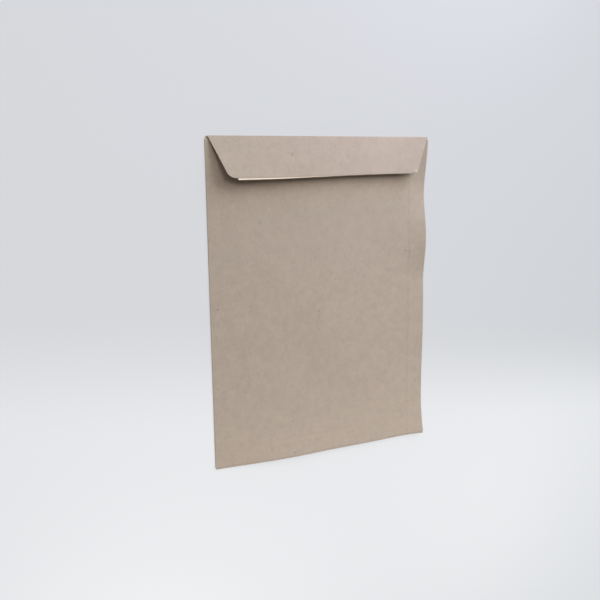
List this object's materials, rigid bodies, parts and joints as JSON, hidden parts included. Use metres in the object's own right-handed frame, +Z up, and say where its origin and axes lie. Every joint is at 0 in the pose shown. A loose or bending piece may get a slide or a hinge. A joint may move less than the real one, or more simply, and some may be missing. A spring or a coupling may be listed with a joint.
{
  "type": "kraft envelope",
  "caption": "Flat kraft paper envelope for large papers, side seam up, its seal flap sprung partly open over a peel-off closure strip.",
  "frame": {"origin": "middle of the footprint, on the surface that the envelope lies on", "axes": "+X across the envelope to the side with the seam, +Y towards the top fold with the seal flap, +Z up, out of the seam side"},
  "size_m": [0.2286, 0.3048, 0.0137],
  "materials": {
    "kraft_paper": "unbleached recycled kraft paper with fine fibres and specks, matt",
    "adhesive": "thin stripe of pale, slightly glossy pressure-sensitive adhesive",
    "release_paper": "smooth cream release paper with a soft silicone sheen"
  },
  "bodies": {
    "root": {"envelope_sheet": "kraft_paper", "adhesive_stripe": "adhesive", "release_liner": "release_paper"}
  },
  "joints": []
}
